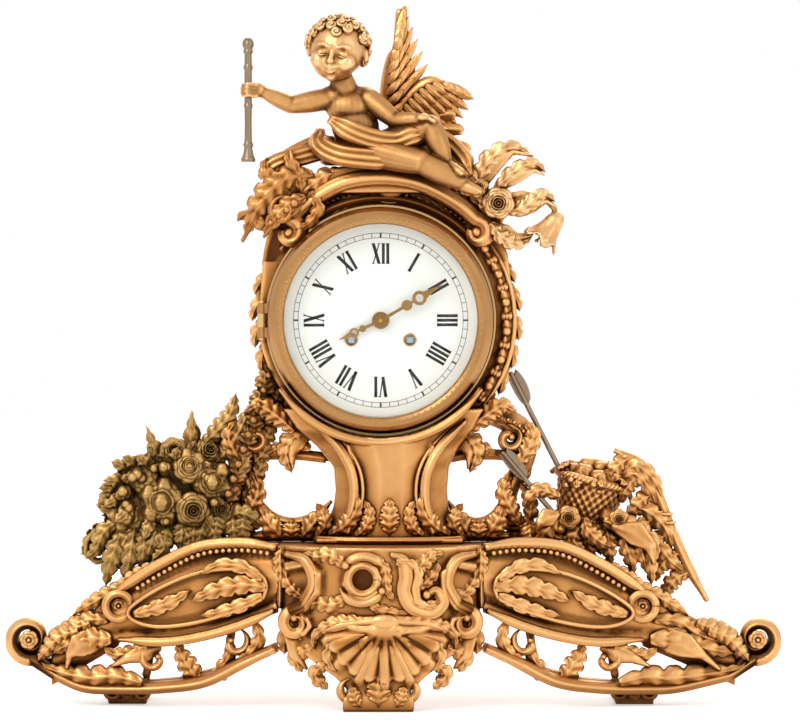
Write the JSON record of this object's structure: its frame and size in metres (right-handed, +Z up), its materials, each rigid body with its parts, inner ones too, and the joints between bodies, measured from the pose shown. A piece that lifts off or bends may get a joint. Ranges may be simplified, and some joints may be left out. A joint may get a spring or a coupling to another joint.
{
  "type": "figural mantel clock",
  "caption": "Gilt mantel clock: scrolled base with two arms, flowers and a fruit basket, a round drum case with hinged glass bezel, and a winged child seated on top.",
  "frame": {"origin": "middle of the bounding box in plan, on the surface the clock stands on", "axes": "+X to the right seen from the dial side, +Y from the dial to the rear door, +Z up"},
  "size_m": [0.3984, 0.1267, 0.3584],
  "materials": {
    "gilt_bronze": "mercury gilt, burnished and matt",
    "dark_gilt": "gilt with olive patina",
    "gilt_bezel": "gilt, turned",
    "enamel": "white vitreous enamel",
    "glass": "clear bevelled glass",
    "brass": "lacquered, turned and grained",
    "steel": "polished steel",
    "bell_metal": "bright bell metal"
  },
  "bodies": {
    "case": {"base_centre": "gilt_bronze", "base_arm_left": "gilt_bronze", "base_arm_right": "gilt_bronze", "base_bolts": "steel", "waist": "gilt_bronze", "dial_surround": "gilt_bronze", "surround_bolts": "steel", "case_drum": "brass", "acanthus_left": "dark_gilt", "flower_spray_right": "gilt_bronze", "putto": "gilt_bronze", "wings": "gilt_bronze", "staff": "gilt_bronze", "bouquet_left": "dark_gilt", "basket_trophy_right": "gilt_bronze", "trophy_arrows": "dark_gilt", "front_ring": "brass", "bezel_hinge_pin": "brass", "dial": "enamel", "front_plate": "brass", "back_plate": "brass", "plate_pillars": "brass", "movement_posts": "brass", "case_straps": "brass", "clicks": "brass", "bell": "bell_metal", "bell_stand": "brass", "suspension_cock": "brass", "rear_ring": "brass", "rear_hinge_pin": "brass", "strap_screws": "steel"},
    "bezel": {"bezel": "gilt_bezel", "sight_ring": "gilt_bezel", "bezel_glass": "glass"},
    "rear_door": {"rear_door": "brass"},
    "minute_hand": {"minute_hand": "brass", "hand_collet": "brass", "cannon_pinion": "steel"},
    "hour_hand": {"hour_hand": "brass", "hour_wheel": "brass"},
    "minute_wheel": {"minute_wheel": "brass"},
    "third_wheel": {"third_wheel": "brass"},
    "escape_wheel": {"escape_wheel": "brass"},
    "centre_wheel": {"centre_wheel": "brass"},
    "intermediate_wheel": {"intermediate_wheel": "brass"},
    "going_barrel": {"going_barrel": "brass", "going_spring": "steel"},
    "going_arbor": {"going_arbor": "steel"},
    "strike_arbor": {"strike_arbor": "steel"},
    "pin_wheel": {"pin_wheel": "brass"},
    "strike_second_wheel": {"strike_second_wheel": "brass", "count_wheel": "brass"},
    "strike_barrel": {"strike_barrel": "brass", "strike_spring": "steel"},
    "fly": {"fly": "steel"},
    "pendulum": {"pendulum": "steel", "pendulum_bob": "brass"},
    "pallets": {"pallets": "steel"},
    "hammer": {"hammer": "steel"}
  },
  "joints": [
    {"name": "bezel_hinge", "type": "hinge", "parent": "case", "child": "bezel", "pos_m": [-0.0671, -0.02235, 0.197], "axis": [0, 0, -1], "range_deg": [0, 95]},
    {"name": "rear_door_hinge", "type": "hinge", "parent": "case", "child": "rear_door", "pos_m": [0.0467, 0.05985, 0.197], "axis": [0, 0, -1], "range_deg": [0, 110]},
    {"name": "minute_hand_turn", "type": "hinge", "parent": "case", "child": "minute_hand", "pos_m": [-0.0065, 0.00315, 0.197], "axis": [0, 1, 0], "continuous": true},
    {"name": "hour_hand_turn", "type": "hinge", "parent": "case", "child": "hour_hand", "pos_m": [-0.0065, 0.00315, 0.197], "axis": [0, 1, 0], "continuous": true},
    {"name": "minute_wheel_turn", "type": "hinge", "parent": "case", "child": "minute_wheel", "pos_m": [0.00198, 0.00315, 0.20549], "axis": [0, 1, 0], "continuous": true},
    {"name": "third_wheel_turn", "type": "hinge", "parent": "case", "child": "third_wheel", "pos_m": [-0.01125, 0.00315, 0.20867], "axis": [0, 1, 0], "continuous": true},
    {"name": "escape_wheel_turn", "type": "hinge", "parent": "case", "child": "escape_wheel", "pos_m": [-0.0065, 0.00315, 0.2185], "axis": [0, 1, 0], "continuous": true},
    {"name": "centre_wheel_turn", "type": "hinge", "parent": "case", "child": "centre_wheel", "pos_m": [-0.0065, 0.00315, 0.197], "axis": [0, 1, 0], "continuous": true},
    {"name": "intermediate_wheel_turn", "type": "hinge", "parent": "case", "child": "intermediate_wheel", "pos_m": [0.0057, 0.00315, 0.20235], "axis": [0, 1, 0], "continuous": true},
    {"name": "going_barrel_turn", "type": "hinge", "parent": "case", "child": "going_barrel", "pos_m": [0.0085, 0.00315, 0.187], "axis": [0, 1, 0], "continuous": true},
    {"name": "going_winding", "type": "hinge", "parent": "case", "child": "going_arbor", "pos_m": [0.0085, 0.00315, 0.187], "axis": [0, 1, 0], "range_deg": [0, 1440]},
    {"name": "strike_winding", "type": "hinge", "parent": "case", "child": "strike_arbor", "pos_m": [-0.0215, 0.00315, 0.187], "axis": [0, 1, 0], "range_deg": [0, 1440]},
    {"name": "pin_wheel_turn", "type": "hinge", "parent": "case", "child": "pin_wheel", "pos_m": [-0.02905, 0.00315, 0.20937], "axis": [0, 1, 0], "continuous": true},
    {"name": "strike_second_turn", "type": "hinge", "parent": "case", "child": "strike_second_wheel", "pos_m": [-0.03194, 0.00315, 0.19859], "axis": [0, 1, 0], "continuous": true},
    {"name": "strike_barrel_turn", "type": "hinge", "parent": "case", "child": "strike_barrel", "pos_m": [-0.0215, 0.00315, 0.187], "axis": [0, 1, 0], "continuous": true},
    {"name": "fly_turn", "type": "hinge", "parent": "case", "child": "fly", "pos_m": [-0.02733, 0.00315, 0.21912], "axis": [0, 1, 0], "continuous": true},
    {"name": "pendulum_swing", "type": "hinge", "parent": "case", "child": "pendulum", "pos_m": [-0.0065, 0.02415, 0.233], "axis": [0, 1, 0], "range_deg": [-4, 4]},
    {"name": "pallet_rock", "type": "hinge", "parent": "case", "child": "pallets", "pos_m": [-0.0065, 0.00315, 0.233], "axis": [0, 1, 0], "range_deg": [-4, 4]},
    {"name": "hammer_lift", "type": "hinge", "parent": "case", "child": "hammer", "pos_m": [-0.04, 0.02815, 0.213], "axis": [0, 1, 0], "range_deg": [0, 12], "stiffness_Nm_per_rad": 0.02, "springref_deg": -5.73}
  ],
  "couplings": [
    {"joint": "hour_hand_turn", "follows": "minute_hand_turn", "ratio": 0.083333},
    {"joint": "minute_wheel_turn", "follows": "minute_hand_turn", "ratio": -0.33333},
    {"joint": "escape_wheel_turn", "follows": "third_wheel_turn", "ratio": -13},
    {"joint": "centre_wheel_turn", "follows": "third_wheel_turn", "ratio": -0.076923},
    {"joint": "intermediate_wheel_turn", "follows": "third_wheel_turn", "ratio": 0.009324},
    {"joint": "going_barrel_turn", "follows": "third_wheel_turn", "ratio": -0.0013712},
    {"joint": "strike_second_turn", "follows": "pin_wheel_turn", "ratio": -0.14815},
    {"joint": "strike_barrel_turn", "follows": "pin_wheel_turn", "ratio": 0.021786},
    {"joint": "fly_turn", "follows": "pin_wheel_turn", "ratio": -10},
    {"joint": "pallet_rock", "follows": "pendulum_swing", "ratio": 1}
  ]
}
